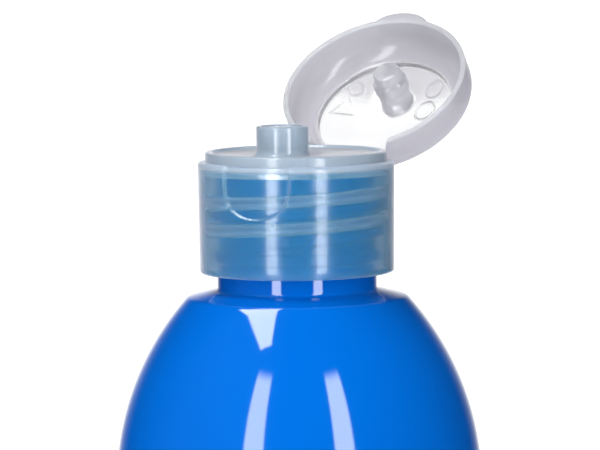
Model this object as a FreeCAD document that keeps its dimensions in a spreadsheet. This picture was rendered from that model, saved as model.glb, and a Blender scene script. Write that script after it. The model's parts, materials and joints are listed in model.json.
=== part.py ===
import FreeCAD, Part
import math
import os
import Sketcher

# Shampoo bottle with a screw-on flip-top cap, lid standing open.
# Millimetres. Z is up, the floor is Z = 0, the thumb recess faces -Y and the lid hinge is at +Y.

os.makedirs("parts", exist_ok=True)
doc = FreeCAD.newDocument("shampoo_bottle")
sheet = doc.addObject("Spreadsheet::Sheet", "Sizes")

# Every row is: word used in the formulas, value or formula, meaning.
SIZES = [
    ("barrel_radius", "28.9", "outside of the straight barrel"),
    ("barrel_top_height", "82.7", "where the barrel starts to curve in"),
    ("side_arc_radius", "45", "curve of the upper body"),
    ("shoulder_edge_height", "112.75", "edge between upper body and shoulder cone"),
    ("shoulder_edge_radius", "=barrel_radius - side_arc_radius"
     " + sqrt(side_arc_radius * side_arc_radius"
     " - (shoulder_edge_height - barrel_top_height) * (shoulder_edge_height - barrel_top_height))",
     "radius of that edge"),
    ("shoulder_rounding", "1.3", "rounding of that edge"),
    ("neck_base_height", "114", "top of the shoulder cone"),
    ("wall", "1", "body wall"),
    ("heel_rounding", "4", "rounding between base and barrel"),
    ("heel_inner_rounding", "=heel_rounding - wall", "inside of the heel"),
    ("foot_outer_radius", "=barrel_radius - heel_rounding", "outer edge of the ring it stands on"),
    ("foot_inner_radius", "=foot_outer_radius - 2.4", "inner edge of that ring"),
    ("punt_radius", "=foot_inner_radius - 2", "where the step of the hollow base ends"),
    ("punt_height", "1.2", "step of the hollow base"),
    ("punt_crown_height", "2.6", "middle of the hollow base"),
    ("inner_barrel_radius", "=barrel_radius - wall", "inside of the barrel"),
    ("inner_arc_radius", "=side_arc_radius - wall", "inside of the upper body curve"),
    ("inner_edge_height", "111.4", "inside corner below the shoulder"),
    ("inner_edge_radius", "=barrel_radius - side_arc_radius"
     " + sqrt(inner_arc_radius * inner_arc_radius"
     " - (inner_edge_height - barrel_top_height) * (inner_edge_height - barrel_top_height))",
     "radius of that corner"),
    ("inner_neck_base_height", "=neck_base_height - 0.7", "bottom of the neck bore"),
    ("inner_foot_radius", "=foot_inner_radius + 0.4", "inside of the foot ring"),
    ("inner_punt_radius", "=punt_radius + 0.2", "inside end of the base step"),
    ("inner_punt_height", "=punt_height + wall", "inside of the base step"),
    ("inner_crown_height", "=punt_crown_height + wall", "inside of the base middle"),
    ("neck_radius", "12.55", "neck outside below the thread crests, 28 mm finish"),
    ("neck_bore_radius", "10.9", "neck bore"),
    ("mouth_height", "133", "top of the neck"),
    ("mouth_rounding", "0.4", "edges of the mouth"),
    ("bead_radius", "13.1", "plain ring below the thread"),
    ("bead_bottom_height", "118.4", "bottom of that ring"),
    ("bead_low_height", "=bead_bottom_height + 0.4", "bottom of its face"),
    ("bead_high_height", "=bead_bottom_height + 1.8", "top of its face"),
    ("bead_top_height", "=bead_bottom_height + 2.2", "top of that ring"),
    ("thread_pitch", "4.233", "six turns per inch"),
    ("thread_turns", "1.5", "length of the neck thread"),
    ("thread_rise", "=thread_pitch * thread_turns", "height gained over the neck thread"),
    ("cap_thread_turns", "2", "length of the cap thread"),
    ("cap_thread_rise", "=thread_pitch * cap_thread_turns", "height gained over the cap thread"),
    ("thread_crest_radius", "13.7", "neck thread crest"),
    ("thread_root_radius", "=neck_radius - 0.2", "thread foot, sunk into the neck"),
    ("thread_low_height", "122.23", "centre of the lower end of both threads"),
    ("thread_high_height", "=thread_low_height + thread_rise", "centre of the neck thread's upper end"),
    ("thread_foot_low", "=thread_high_height - 1.25", "neck thread section, foot"),
    ("thread_foot_high", "=thread_high_height + 1.25", "neck thread section, foot"),
    ("thread_crest_low", "=thread_high_height - 0.5", "neck thread section, crest"),
    ("thread_crest_high", "=thread_high_height + 0.5", "neck thread section, crest"),
    ("liner_inner_radius", "8.6", "hole of the seal liner"),
    ("liner_outer_radius", "12.7", "outside of the seal liner"),
    ("liner_thickness", "1", "seal liner"),
    ("cap_bottom_height", "116.7", "lower rim of the cap"),
    ("cap_bottom_radius", "15.25", "outside of the cap at its lower rim"),
    ("ledge_height", "134.1", "ledge the closed lid comes down to"),
    ("cap_top_radius", "15.46", "outside of the cap at the ledge"),
    ("cap_height", "=ledge_height - cap_bottom_height", "outer wall of the cap"),
    ("ledge_rounding", "0.5", "outer edge of the ledge"),
    ("seat_radius", "14.29", "raised seat inside the lid"),
    ("seat_top_height", "=ledge_height + 1.6", "top of the raised seat"),
    ("seat_rounding", "0.4", "outer edge of the seat"),
    ("dish_outer_radius", "13.3", "top edge of the dished deck"),
    ("dish_inner_radius", "12.9", "flat of the dished deck"),
    ("deck_height", "=ledge_height + 1.2", "top of the deck"),
    ("deck_underside", "=mouth_height + liner_thickness", "underside of the deck"),
    ("liner_pocket_radius", "12.9", "recess for the seal liner"),
    ("liner_pocket_height", "=mouth_height + 0.2", "lower end of that recess"),
    ("cap_bore_radius", "14", "cap inside, between the thread turns"),
    ("cap_bore_top_height", "=mouth_height - 0.8", "upper end of the plain bore"),
    ("cap_bore_low_height", "=cap_bottom_height + 0.9", "lead-in chamfer"),
    ("cap_lead_radius", "14.4", "lead-in at the lower rim"),
    ("cap_thread_crest_radius", "12.95", "cap thread crest"),
    ("cap_thread_root_radius", "=cap_bore_radius + 0.2", "cap thread foot, sunk into the wall"),
    ("cap_thread_foot_low", "=thread_low_height - 1.15", "cap thread section, foot"),
    ("cap_thread_foot_high", "=thread_low_height + 1.15", "cap thread section, foot"),
    ("cap_thread_crest_low", "=thread_low_height - 0.45", "cap thread section, crest"),
    ("cap_thread_crest_high", "=thread_low_height + 0.45", "cap thread section, crest"),
    ("recess_half_width", "5.8", "half the thumb recess"),
    ("recess_leg_depth", "5.4", "straight legs of the recess below the ledge"),
    ("recess_depth_below_ledge", "8.2", "bottom of the recess below the ledge"),
    ("recess_floor_radius", "14.95", "floor of the thumb recess"),
    ("recess_sag", "=recess_depth_below_ledge - recess_leg_depth", "rise of the recess bottom curve"),
    ("recess_curve_radius", "=(recess_half_width * recess_half_width + recess_sag * recess_sag)"
     " / (2 * recess_sag)", "bottom curve of the recess"),
    ("recess_leg_height", "=ledge_height - recess_leg_depth", "lower end of the recess legs"),
    ("recess_corner_rounding", "2.4", "lower corners of the recess"),
    ("recess_cut_height", "=ledge_height + 1", "cut starts above the ledge"),
    ("spout_offset", "4.8", "spout axis, towards the thumb side"),
    ("spout_radius", "4.08", "spout outside"),
    ("spout_foot_radius", "=spout_radius + 0.8", "flare at the foot of the spout"),
    ("spout_flare_height", "=deck_height + 0.8", "top of that flare"),
    ("spout_top_height", "=ledge_height + 5.85", "rim of the spout"),
    ("spout_bore_radius", "3.2", "upper bore of the spout"),
    ("spout_step_height", "=spout_top_height - 1.95", "step inside the spout"),
    ("orifice_radius", "2.95", "dispensing hole"),
    ("spout_rim_rounding", "0.3", "rim of the spout"),
    ("lid_rim_height", "=ledge_height + 0.1", "lower rim of the closed lid"),
    ("lid_radius", "15.45", "outside of the lid"),
    ("lid_wall", "0.85", "skirt of the lid"),
    ("lid_inner_radius", "=lid_radius - lid_wall", "inside of the lid skirt"),
    ("lid_dome_radius", "25", "outside of the domed lid top"),
    ("lid_inner_dome_radius", "=lid_dome_radius - lid_wall", "inside of the domed lid top"),
    ("lid_top_height", "=ledge_height + 10.9", "top of the closed lid"),
    ("lid_floor_height", "=lid_top_height - lid_wall", "inside of the lid top, in the middle"),
    ("lid_dome_centre_height", "=lid_top_height - lid_dome_radius", "centre of the dome"),
    ("lid_corner_height", "=lid_dome_centre_height"
     " + sqrt(lid_dome_radius * lid_dome_radius - lid_radius * lid_radius)", "dome meets skirt, outside"),
    ("lid_rounding", "2.6", "outer corner of the lid"),
    ("lid_inner_straight_height", "=ledge_height + 2.4", "straight part of the skirt, inside"),
    ("lid_step_radius", "11.3", "thick outer ring of the lid floor ends here in a small step"),
    ("lid_step_height", "=ledge_height + 6.4", "lower edge of that step, lid closed"),
    ("lid_step_top_height", "=lid_dome_centre_height"
     " + sqrt(lid_inner_dome_radius * lid_inner_dome_radius - lid_step_radius * lid_step_radius)",
     "upper edge of that step"),
    ("lid_inside_rise", "=lid_step_height - lid_inner_straight_height", "height of the inner corner curve"),
    ("lid_inside_run", "=lid_inner_radius - lid_step_radius", "reach of the inner corner curve"),
    ("lid_inner_rounding", "=(lid_inside_run * lid_inside_run + lid_inside_rise * lid_inside_rise)"
     " / (2 * lid_inside_run)", "inner corner of the lid"),
    ("notch_half_width", "6.3", "relief of the lid skirt at the hinge"),
    ("notch_top_height", "=lid_rim_height + 3.8", "top of that relief"),
    ("plug_tip_radius", "2.3", "tip of the sealing plug"),
    ("plug_nose_radius", "2", "rounded nose of the plug"),
    ("plug_tip_height", "=ledge_height + 2.3", "end of the plug, lid closed"),
    ("plug_nose_height", "=plug_tip_height + 0.3", "nose ends"),
    ("plug_cone_low", "=plug_tip_height + 1.5", "sealing cone starts"),
    ("plug_cone_high", "=plug_tip_height + 2.1", "sealing cone ends"),
    ("plug_collar_radius", "2.85", "collar of the plug"),
    ("plug_collar_height", "=plug_tip_height + 3.7", "collar ends"),
    ("plug_root_height", "=plug_tip_height + 4.1", "root of the plug starts"),
    ("plug_root_radius", "2.6", "root of the plug"),
    ("tab_half_width", "4.6", "half the thumb tab"),
    ("tab_reach", "1.35", "thumb tab beyond the skirt"),
    ("tab_thickness", "1.7", "thumb tab along the skirt"),
    ("tab_corner", "=sqrt(lid_radius * lid_radius - tab_half_width * tab_half_width)", "tab corners"),
    ("tab_sag", "=lid_radius + tab_reach - tab_corner", "rise of the tab curve"),
    ("tab_curve_radius", "=(tab_half_width * tab_half_width + tab_sag * tab_sag) / (2 * tab_sag)",
     "tab curve"),
    ("hinge_offset", "16.8", "hinge axis behind the bottle axis"),
    ("hinge_height", "=ledge_height + 0.05", "hinge axis above the floor"),
    ("lid_open_angle", "140", "lid, from closed"),
    ("leaf_width", "3.5", "one hinge leaf"),
    ("leaf_inner_side", "2", "inner side of the right leaf"),
    ("leaf_left_start", "=-leaf_inner_side - leaf_width", "outer side of the left leaf"),
    ("leaf_root_depth", "13.6", "leaf section starts inside the wall"),
    ("leaf_outer_foot", "15.75", "outer face of the leaf at its foot"),
    ("leaf_inner_foot", "15.55", "inner face of the leaf at its foot"),
    ("leaf_outer_tip", "=hinge_offset + 0.15", "outer face of the film at the axis"),
    ("leaf_inner_tip", "=hinge_offset - 0.15", "inner face of the film at the axis"),
    ("film_radius", "0.4", "bending film, drawn as a round bar"),
    ("film_gap_radius", "=film_radius + 0.06", "hollow of the lid leaves round the film"),
    ("cap_leaf_far", "=hinge_height - 5.45", "cap leaf section, far end"),
    ("cap_leaf_near", "=hinge_height - 3.85", "cap leaf section, near end of its foot"),
    ("lid_leaf_far", "=hinge_height + 5.25", "lid leaf section, far end"),
    ("lid_leaf_near", "=notch_top_height", "lid leaf section, near end of its foot"),
]

for row, (word, amount, meaning) in enumerate(SIZES, start=1):
    sheet.set("A%d" % row, word)
    sheet.set("B%d" % row, amount)
    sheet.set("C%d" % row, meaning)
    sheet.setAlias("B%d" % row, word)
doc.recompute()


def size(word):
    return float(sheet.get(word))


def originPlane(body, role):
    for feature in body.Origin.OriginFeatures:
        if feature.Role == role:
            return feature
    raise RuntimeError("no plane " + role)


def newBody(label):
    body = doc.addObject("PartDesign::Body", label)
    body.Label = label
    return body


def newSketch(body, name, role):
    sketch = body.newObject("Sketcher::SketchObject", name)
    sketch.AttachmentSupport = [(originPlane(body, role), "")]
    sketch.MapMode = "FlatFace"
    return sketch


def bindLast(sketch, word):
    sketch.setExpression("Constraints[%d]" % (sketch.ConstraintCount - 1), "Sizes." + word)


def holdAcross(sketch, edge, end, word):
    if word == "axis":
        sketch.addConstraint(Sketcher.Constraint("PointOnObject", edge, end, -2))
    elif word.startswith("-"):
        amount = size(word[1:])
        sketch.addConstraint(Sketcher.Constraint("DistanceX", edge, end, -1, 1, amount))
        bindLast(sketch, word[1:])
    else:
        sketch.addConstraint(Sketcher.Constraint("DistanceX", -1, 1, edge, end, size(word)))
        bindLast(sketch, word)


def holdUp(sketch, edge, end, word):
    if word == "axis":
        sketch.addConstraint(Sketcher.Constraint("PointOnObject", edge, end, -1))
    elif word.startswith("-"):
        amount = size(word[1:])
        sketch.addConstraint(Sketcher.Constraint("DistanceY", edge, end, -1, 1, amount))
        bindLast(sketch, word[1:])
    else:
        sketch.addConstraint(Sketcher.Constraint("DistanceY", -1, 1, edge, end, size(word)))
        bindLast(sketch, word)


def signed(word):
    if word == "axis":
        return 0.0
    if word.startswith("-"):
        return -size(word[1:])
    return size(word)


def arcCentre(start, end, radius, bulge):
    # Centre of the minor arc from start to end; bulge +1 puts the arc left of the line, -1 right of it.
    chord = end - start
    half = chord.Length / 2
    left = FreeCAD.Vector(-chord.y, chord.x, 0).normalize()
    return start + chord * 0.5 - left * (bulge * math.sqrt(max(radius * radius - half * half, 0)))


def closedOutline(sketch, corners):
    # A corner is (across, up), or (across, up, radius word, bulge) when an arc leaves it.
    points = [FreeCAD.Vector(signed(c[0]), signed(c[1]), 0) for c in corners]
    ends = []
    for number, corner in enumerate(corners):
        start = points[number]
        finish = points[(number + 1) % len(points)]
        if len(corner) == 2:
            sketch.addGeometry(Part.LineSegment(start, finish), False)
            ends.append((1, 2))
        else:
            centre = arcCentre(start, finish, size(corner[2]), corner[3])
            circle = Part.Circle(centre, FreeCAD.Vector(0, 0, 1), size(corner[2]))
            angleStart = math.atan2(start.y - centre.y, start.x - centre.x)
            angleEnd = math.atan2(finish.y - centre.y, finish.x - centre.x)
            sweep = (angleEnd - angleStart) % (2 * math.pi)
            if sweep <= math.pi:
                sketch.addGeometry(Part.ArcOfCircle(circle, angleStart, angleStart + sweep), False)
                ends.append((1, 2))
            else:
                sweep = 2 * math.pi - sweep
                sketch.addGeometry(Part.ArcOfCircle(circle, angleEnd, angleEnd + sweep), False)
                ends.append((2, 1))
    for number in range(len(corners)):
        following = (number + 1) % len(corners)
        sketch.addConstraint(
            Sketcher.Constraint("Coincident", number, ends[number][1], following, ends[following][0])
        )
    for number, corner in enumerate(corners):
        holdAcross(sketch, number, ends[number][0], corner[0])
        holdUp(sketch, number, ends[number][0], corner[1])
        if len(corner) > 2:
            sketch.addConstraint(Sketcher.Constraint("Radius", number, size(corner[2])))
            bindLast(sketch, corner[2])
    doc.recompute()


def turned(body, sketch, name):
    # Full turn of a half section about the vertical axis.
    solid = body.newObject("PartDesign::Revolution", name)
    solid.Profile = sketch
    solid.ReferenceAxis = (sketch, ["V_Axis"])
    solid.Angle = 360
    sketch.Visibility = False
    doc.recompute()
    return solid


def ringEdges(shape, radius, height):
    names = []
    for number, edge in enumerate(shape.Edges, start=1):
        if edge.Degenerated or not isinstance(edge.Curve, Part.Circle):
            continue
        if abs(edge.Curve.Radius - radius) < 0.02 and abs(edge.CenterOfMass.z - height) < 0.02:
            names.append("Edge%d" % number)
    if not names:
        raise RuntimeError("no edge of radius %.2f at height %.2f" % (radius, height))
    return names


def rounded(body, base, name, rings, radiusWord):
    edges = []
    for radius, height in rings:
        edges += ringEdges(base.Shape, radius, height)
    fillet = body.newObject("PartDesign::Fillet", name)
    fillet.Base = (base, edges)
    fillet.Radius = size(radiusWord)
    fillet.setExpression("Radius", "Sizes." + radiusWord)
    doc.recompute()
    return fillet


def threaded(body, name, corners, riseWord, downwards):
    # Helical ridge of this section, starting on the hinge side.
    sketch = newSketch(body, name + "_section", "YZ_Plane")
    closedOutline(sketch, corners)
    before = body.Tip.Shape.Volume
    helix = body.newObject("PartDesign::AdditiveHelix", name)
    helix.Profile = sketch
    helix.ReferenceAxis = (sketch, ["V_Axis"])
    helix.Mode = 0
    helix.Pitch = size("thread_pitch")
    helix.setExpression("Pitch", "Sizes.thread_pitch")
    helix.Height = size(riseWord)
    helix.setExpression("Height", "Sizes." + riseWord)
    helix.LeftHanded = False
    helix.Reversed = downwards
    sketch.Visibility = False
    doc.recompute()
    if helix.Shape.Volume <= before:
        raise RuntimeError(name + " added nothing")
    return helix


# Bottle: one blown shell with a screw neck.
bottle = newBody("bottle")
section = newSketch(bottle, "bottle_section", "XZ_Plane")
closedOutline(section, [
    ("axis", "punt_crown_height"),
    ("punt_radius", "punt_height"),
    ("foot_inner_radius", "axis"),
    ("foot_outer_radius", "axis", "heel_rounding", -1),
    ("barrel_radius", "heel_rounding"),
    ("barrel_radius", "barrel_top_height", "side_arc_radius", -1),
    ("shoulder_edge_radius", "shoulder_edge_height"),
    ("neck_radius", "neck_base_height"),
    ("neck_radius", "bead_bottom_height"),
    ("bead_radius", "bead_low_height"),
    ("bead_radius", "bead_high_height"),
    ("neck_radius", "bead_top_height"),
    ("neck_radius", "mouth_height"),
    ("neck_bore_radius", "mouth_height"),
    ("neck_bore_radius", "inner_neck_base_height"),
    ("inner_edge_radius", "inner_edge_height", "inner_arc_radius", 1),
    ("inner_barrel_radius", "barrel_top_height"),
    ("inner_barrel_radius", "heel_rounding", "heel_inner_rounding", 1),
    ("foot_outer_radius", "wall"),
    ("inner_foot_radius", "wall"),
    ("inner_punt_radius", "inner_punt_height"),
    ("axis", "inner_crown_height"),
])
shell = turned(bottle, section, "bottle_shell")
shell = rounded(bottle, shell, "bottle_shoulder_rounding",
                [(size("shoulder_edge_radius"), size("shoulder_edge_height"))], "shoulder_rounding")
shell = rounded(bottle, shell, "bottle_mouth_rounding",
                [(size("neck_radius"), size("mouth_height")),
                 (size("neck_bore_radius"), size("mouth_height"))], "mouth_rounding")
threaded(bottle, "neck_thread", [
    ("thread_root_radius", "thread_foot_low"),
    ("thread_crest_radius", "thread_crest_low"),
    ("thread_crest_radius", "thread_crest_high"),
    ("thread_root_radius", "thread_foot_high"),
], "thread_rise", True)

# Seal liner: flat foam ring between mouth and cap.
liner = newBody("seal_liner")
section = newSketch(liner, "liner_section", "XZ_Plane")
closedOutline(section, [
    ("liner_inner_radius", "mouth_height"),
    ("liner_outer_radius", "mouth_height"),
    ("liner_outer_radius", "deck_underside"),
    ("liner_inner_radius", "deck_underside"),
])
turned(liner, section, "liner_ring")

# Cap base: skirt with thread, ledge, raised seat and deck.
capBody = newBody("cap_base_body")
section = newSketch(capBody, "cap_section", "XZ_Plane")
closedOutline(section, [
    ("cap_bottom_radius", "cap_bottom_height"),
    ("cap_top_radius", "ledge_height"),
    ("seat_radius", "ledge_height"),
    ("seat_radius", "seat_top_height"),
    ("dish_outer_radius", "seat_top_height"),
    ("dish_inner_radius", "deck_height"),
    ("axis", "deck_height"),
    ("axis", "deck_underside"),
    ("liner_pocket_radius", "deck_underside"),
    ("liner_pocket_radius", "liner_pocket_height"),
    ("cap_bore_radius", "cap_bore_top_height"),
    ("cap_bore_radius", "cap_bore_low_height"),
    ("cap_lead_radius", "cap_bottom_height"),
])
shell = turned(capBody, section, "cap_shell")
shell = rounded(capBody, shell, "ledge_edge_rounding",
                [(size("cap_top_radius"), size("ledge_height"))], "ledge_rounding")
shell = rounded(capBody, shell, "seat_edge_rounding",
                [(size("seat_radius"), size("seat_top_height"))], "seat_rounding")

section = newSketch(capBody, "orifice_outline", "XY_Plane")
section.addGeometry(
    Part.Circle(FreeCAD.Vector(0, -size("spout_offset"), 0), FreeCAD.Vector(0, 0, 1), size("orifice_radius")),
    False,
)
section.addConstraint(Sketcher.Constraint("Radius", 0, size("orifice_radius")))
bindLast(section, "orifice_radius")
holdAcross(section, 0, 3, "axis")
holdUp(section, 0, 3, "-spout_offset")
doc.recompute()
before = capBody.Tip.Shape.Volume
orifice = capBody.newObject("PartDesign::Pocket", "orifice")
orifice.Profile = section
orifice.Type = "ThroughAll"
orifice.Midplane = True
section.Visibility = False
doc.recompute()
if before - orifice.Shape.Volume < 20:
    raise RuntimeError("the dispensing hole did not cut")
threaded(capBody, "cap_thread", [
    ("cap_thread_root_radius", "cap_thread_foot_low"),
    ("cap_thread_root_radius", "cap_thread_foot_high"),
    ("cap_thread_crest_radius", "cap_thread_crest_high"),
    ("cap_thread_crest_radius", "cap_thread_crest_low"),
], "cap_thread_rise", False)

# Thumb recess: a U-shaped patch, half a millimetre deep, open at the ledge.
recess = newBody("recess_tool")
section = newSketch(recess, "recess_outline", "XZ_Plane")
section.AttachmentOffset = FreeCAD.Placement(FreeCAD.Vector(0, 0, 12), FreeCAD.Rotation())
closedOutline(section, [
    ("-recess_half_width", "recess_leg_height", "recess_curve_radius", -1),
    ("recess_half_width", "recess_leg_height"),
    ("recess_half_width", "recess_cut_height"),
    ("-recess_half_width", "recess_cut_height"),
])
patch = recess.newObject("PartDesign::Pad", "recess_prism")
patch.Profile = section
patch.Length = 5
section.Visibility = False
doc.recompute()
lowCorners = ["Edge%d" % number for number, edge in enumerate(patch.Shape.Edges, start=1)
              if abs(edge.CenterOfMass.z - size("recess_leg_height")) < 0.01 and abs(edge.CenterOfMass.x) > 1]
if len(lowCorners) != 2:
    raise RuntimeError("the recess has %d lower corners" % len(lowCorners))
roundPatch = recess.newObject("PartDesign::Fillet", "recess_corners")
roundPatch.Base = (patch, lowCorners)
roundPatch.Radius = size("recess_corner_rounding")
roundPatch.setExpression("Radius", "Sizes.recess_corner_rounding")
doc.recompute()
before = roundPatch.Shape.Volume
section = newSketch(recess, "recess_floor_outline", "XY_Plane")
section.addGeometry(
    Part.Circle(FreeCAD.Vector(0, 0, 0), FreeCAD.Vector(0, 0, 1), size("recess_floor_radius")), False
)
section.addConstraint(Sketcher.Constraint("Coincident", 0, 3, -1, 1))
section.addConstraint(Sketcher.Constraint("Radius", 0, size("recess_floor_radius")))
bindLast(section, "recess_floor_radius")
doc.recompute()
floorCut = recess.newObject("PartDesign::Pocket", "recess_floor")
floorCut.Profile = section
floorCut.Type = "ThroughAll"
floorCut.Midplane = True
section.Visibility = False
doc.recompute()
if before - floorCut.Shape.Volume < 50:
    raise RuntimeError("the recess floor did not cut")
capBase = doc.addObject("Part::Cut", "cap_base")
capBase.Label = "cap_base"
capBase.Base = capBody
capBase.Tool = recess
doc.recompute()

# Spout: stepped tube on the deck, nearer the thumb side.
spout = newBody("spout")
section = newSketch(spout, "spout_section", "XZ_Plane")
closedOutline(section, [
    ("orifice_radius", "deck_height"),
    ("spout_foot_radius", "deck_height"),
    ("spout_radius", "spout_flare_height"),
    ("spout_radius", "spout_top_height"),
    ("spout_bore_radius", "spout_top_height"),
    ("spout_bore_radius", "spout_step_height"),
    ("orifice_radius", "spout_step_height"),
])
shell = turned(spout, section, "spout_tube")
shell = rounded(spout, shell, "spout_rim_edges",
                [(size("spout_radius"), size("spout_top_height")),
                 (size("spout_bore_radius"), size("spout_top_height"))], "spout_rim_rounding")
spout.Placement = FreeCAD.Placement(FreeCAD.Vector(0, -size("spout_offset"), 0), FreeCAD.Rotation())
spout.setExpression("Placement.Base.y", "-Sizes.spout_offset")


def standOpen(thing):
    # Turns a piece drawn with the lid closed about the hinge axis.
    angle = math.radians(size("lid_open_angle"))
    across = -size("hinge_offset")
    up = -size("hinge_height")
    thing.Placement = FreeCAD.Placement(
        FreeCAD.Vector(0, size("hinge_offset") + across * math.cos(angle) + up * math.sin(angle),
                       size("hinge_height") - across * math.sin(angle) + up * math.cos(angle)),
        FreeCAD.Rotation(FreeCAD.Vector(-1, 0, 0), size("lid_open_angle")),
    )


# Lid shell: a domed cup, relieved where the hinge leaves join it.
lid = newBody("lid_shell")
section = newSketch(lid, "lid_section", "XZ_Plane")
closedOutline(section, [
    ("lid_inner_radius", "lid_rim_height"),
    ("lid_radius", "lid_rim_height"),
    ("lid_radius", "lid_corner_height", "lid_dome_radius", -1),
    ("axis", "lid_top_height"),
    ("axis", "lid_floor_height", "lid_inner_dome_radius", 1),
    ("lid_step_radius", "lid_step_top_height"),
    ("lid_step_radius", "lid_step_height", "lid_inner_rounding", 1),
    ("lid_inner_radius", "lid_inner_straight_height"),
])
shell = turned(lid, section, "lid_cup")
shell = rounded(lid, shell, "lid_outer_rounding",
                [(size("lid_radius"), size("lid_corner_height"))], "lid_rounding")
section = newSketch(lid, "notch_outline", "XZ_Plane")
section.AttachmentOffset = FreeCAD.Placement(FreeCAD.Vector(0, 0, -18), FreeCAD.Rotation())
closedOutline(section, [
    ("-notch_half_width", "cap_bore_top_height"),
    ("notch_half_width", "cap_bore_top_height"),
    ("notch_half_width", "notch_top_height"),
    ("-notch_half_width", "notch_top_height"),
])
before = lid.Tip.Shape.Volume
notch = lid.newObject("PartDesign::Pocket", "hinge_notch")
notch.Profile = section
notch.Length = 8
notch.Reversed = True
section.Visibility = False
doc.recompute()
if before - notch.Shape.Volume < 5:
    raise RuntimeError("the hinge notch did not cut")
standOpen(lid)

# Sealing plug on the lid floor, over the spout when closed. Its root follows the inside of the dome.
pin = newBody("plug_pin_body")
section = newSketch(pin, "plug_section", "XZ_Plane")
closedOutline(section, [
    ("axis", "plug_tip_height"),
    ("plug_nose_radius", "plug_tip_height"),
    ("plug_tip_radius", "plug_nose_height"),
    ("plug_tip_radius", "plug_cone_low"),
    ("plug_collar_radius", "plug_cone_high"),
    ("plug_collar_radius", "plug_collar_height"),
    ("plug_root_radius", "plug_root_height"),
    ("plug_root_radius", "lid_floor_height"),
    ("axis", "lid_floor_height"),
])
turned(pin, section, "plug_pin")
pin.Placement = FreeCAD.Placement(FreeCAD.Vector(0, -size("spout_offset"), 0), FreeCAD.Rotation())
pin.setExpression("Placement.Base.y", "-Sizes.spout_offset")
dome = doc.addObject("Part::Sphere", "lid_inside_dome")
dome.setExpression("Radius", "Sizes.lid_inner_dome_radius")
dome.Placement = FreeCAD.Placement(FreeCAD.Vector(0, 0, size("lid_dome_centre_height")), FreeCAD.Rotation())
dome.setExpression("Placement.Base.z", "Sizes.lid_dome_centre_height")
plug = doc.addObject("Part::Common", "lid_plug")
plug.Label = "lid_plug"
plug.Base = pin
plug.Tool = dome
doc.recompute()
standOpen(plug)

# Thumb tab: crescent on the front of the lid's rim.
tab = newBody("thumb_tab")
section = newSketch(tab, "tab_outline", "XY_Plane")
section.AttachmentOffset = FreeCAD.Placement(FreeCAD.Vector(0, 0, size("lid_rim_height")), FreeCAD.Rotation())
section.setExpression("AttachmentOffset.Base.z", "Sizes.lid_rim_height")
closedOutline(section, [
    ("-tab_half_width", "-tab_corner", "tab_curve_radius", -1),
    ("tab_half_width", "-tab_corner", "lid_radius", 1),
])
crescent = tab.newObject("PartDesign::Pad", "tab_crescent")
crescent.Profile = section
crescent.Length = size("tab_thickness")
crescent.setExpression("Length", "Sizes.tab_thickness")
section.Visibility = False
doc.recompute()
standOpen(tab)


def leaf(label, startWord, far, near):
    # One hinge leaf: a tapering strip from the wall out to the hinge axis.
    body = newBody(label + "_strip")
    outline = newSketch(body, label + "_outline", "YZ_Plane")
    outline.AttachmentOffset = FreeCAD.Placement(FreeCAD.Vector(0, 0, size(startWord)), FreeCAD.Rotation())
    outline.setExpression("AttachmentOffset.Base.z", "Sizes." + startWord)
    closedOutline(outline, [
        ("leaf_root_depth", far),
        ("leaf_outer_foot", far),
        ("leaf_outer_tip", "hinge_height"),
        ("leaf_inner_tip", "hinge_height"),
        ("leaf_inner_foot", near),
        ("leaf_root_depth", near),
    ])
    strip = body.newObject("PartDesign::Pad", label + "_pad")
    strip.Profile = outline
    strip.Length = size("leaf_width")
    strip.setExpression("Length", "Sizes.leaf_width")
    outline.Visibility = False
    doc.recompute()
    return body


def bar(name, startWord, radiusWord):
    # Round bar along the hinge axis.
    rod = doc.addObject("Part::Cylinder", name)
    rod.setExpression("Radius", "Sizes." + radiusWord)
    rod.setExpression("Height", "Sizes.leaf_width")
    rod.Placement = FreeCAD.Placement(
        FreeCAD.Vector(size(startWord), size("hinge_offset"), size("hinge_height")),
        FreeCAD.Rotation(FreeCAD.Vector(0, 1, 0), 90),
    )
    rod.setExpression("Placement.Base.x", "Sizes." + startWord)
    rod.setExpression("Placement.Base.y", "Sizes.hinge_offset")
    rod.setExpression("Placement.Base.z", "Sizes.hinge_height")
    return rod


capCone = doc.addObject("Part::Cone", "cap_outside")
capCone.setExpression("Radius1", "Sizes.cap_bottom_radius")
capCone.setExpression("Radius2", "Sizes.cap_top_radius")
capCone.setExpression("Height", "Sizes.cap_height")
capCone.Placement = FreeCAD.Placement(FreeCAD.Vector(0, 0, size("cap_bottom_height")), FreeCAD.Rotation())
capCone.setExpression("Placement.Base.z", "Sizes.cap_bottom_height")
lidOutside = newBody("lid_outside")
section = newSketch(lidOutside, "lid_outside_section", "XZ_Plane")
closedOutline(section, [
    ("axis", "axis"),
    ("lid_radius", "axis"),
    ("lid_radius", "lid_corner_height", "lid_dome_radius", -1),
    ("axis", "lid_top_height"),
])
rounded(lidOutside, turned(lidOutside, section, "lid_outside_drum"), "lid_outside_rounding",
        [(size("lid_radius"), size("lid_corner_height"))], "lid_rounding")

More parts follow.
